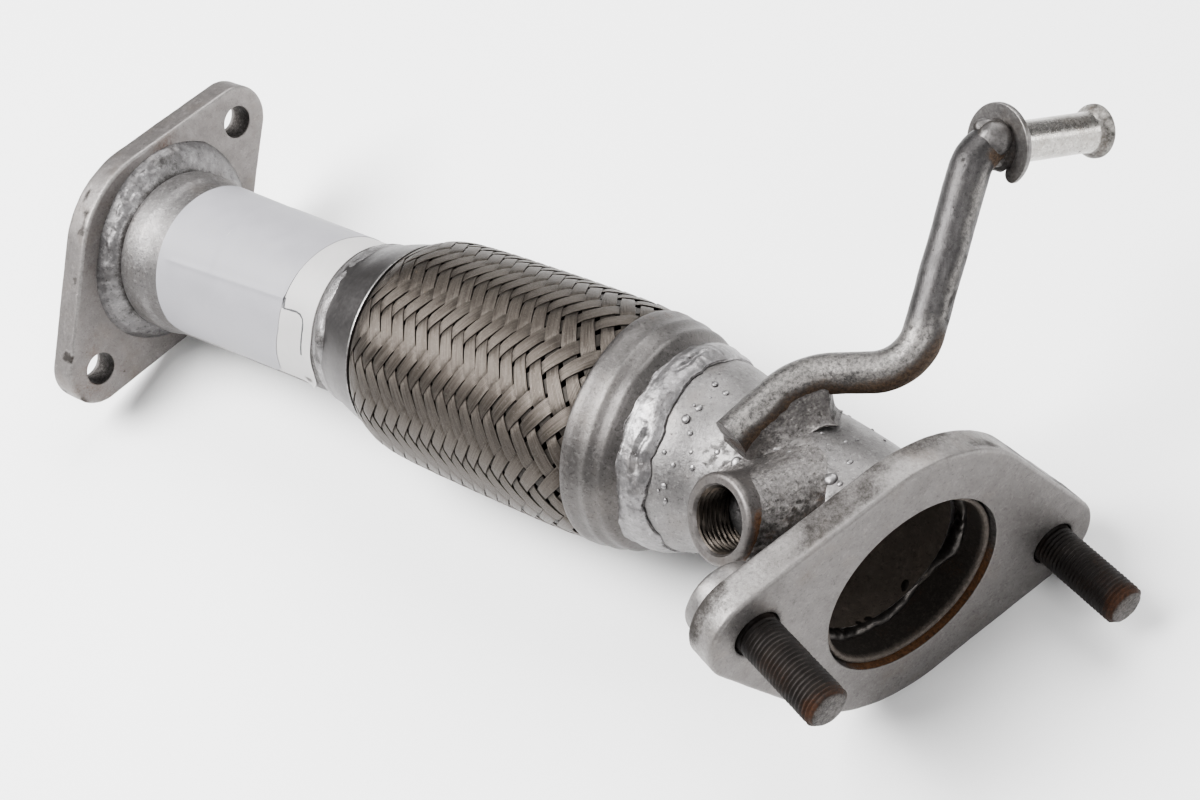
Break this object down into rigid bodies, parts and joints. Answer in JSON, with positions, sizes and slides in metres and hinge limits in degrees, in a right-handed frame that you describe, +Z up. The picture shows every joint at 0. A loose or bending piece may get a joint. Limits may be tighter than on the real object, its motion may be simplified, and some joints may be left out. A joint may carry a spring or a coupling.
{
  "type": "exhaust pipe",
  "caption": "Front exhaust pipe with a braided flexible section, two bolting plates, a threaded sensor boss and a bent hanger rod.",
  "frame": {"origin": "bottom centre of the bounding box, on the surface that the pipe lies on", "axes": "+Z up with the pipe lying at rest on its two plates, +X along the flexible section from the rear plate to the front plate, +Y to the side the hanger rod's pin points to"},
  "size_m": [0.3546, 0.1888, 0.1069],
  "materials": {
    "blasted_steel": "matte sandblasted",
    "weld_steel": "rippled weld bead",
    "paper": "matte paper",
    "braid_wire": "satin woven wire",
    "thin_stainless": "satin",
    "rusted_stud": "dark rusted thread",
    "machined_steel": "machined",
    "rod_steel": "satin with rust"
  },
  "bodies": {
    "root": {"rear_flange": "blasted_steel", "rear_flange_weld": "weld_steel", "rear_pipe": "blasted_steel", "label_lower": "paper", "label_upper": "paper", "rear_collar": "blasted_steel", "rear_collar_weld": "weld_steel", "outer_braid": "braid_wire", "bellows": "thin_stainless", "inner_liner": "thin_stainless", "front_collar": "blasted_steel", "front_collar_weld": "weld_steel", "front_pipe": "blasted_steel", "front_flange": "blasted_steel", "front_stub": "blasted_steel", "front_flange_weld": "weld_steel", "inner_root_weld": "weld_steel", "stud_left": "rusted_stud", "stud_right": "rusted_stud", "sensor_bung": "machined_steel", "sensor_bung_weld": "weld_steel", "hanger_rod": "rod_steel", "hanger_rod_weld": "weld_steel", "hanger_washer": "rod_steel", "hanger_washer_weld": "weld_steel"}
  },
  "joints": []
}
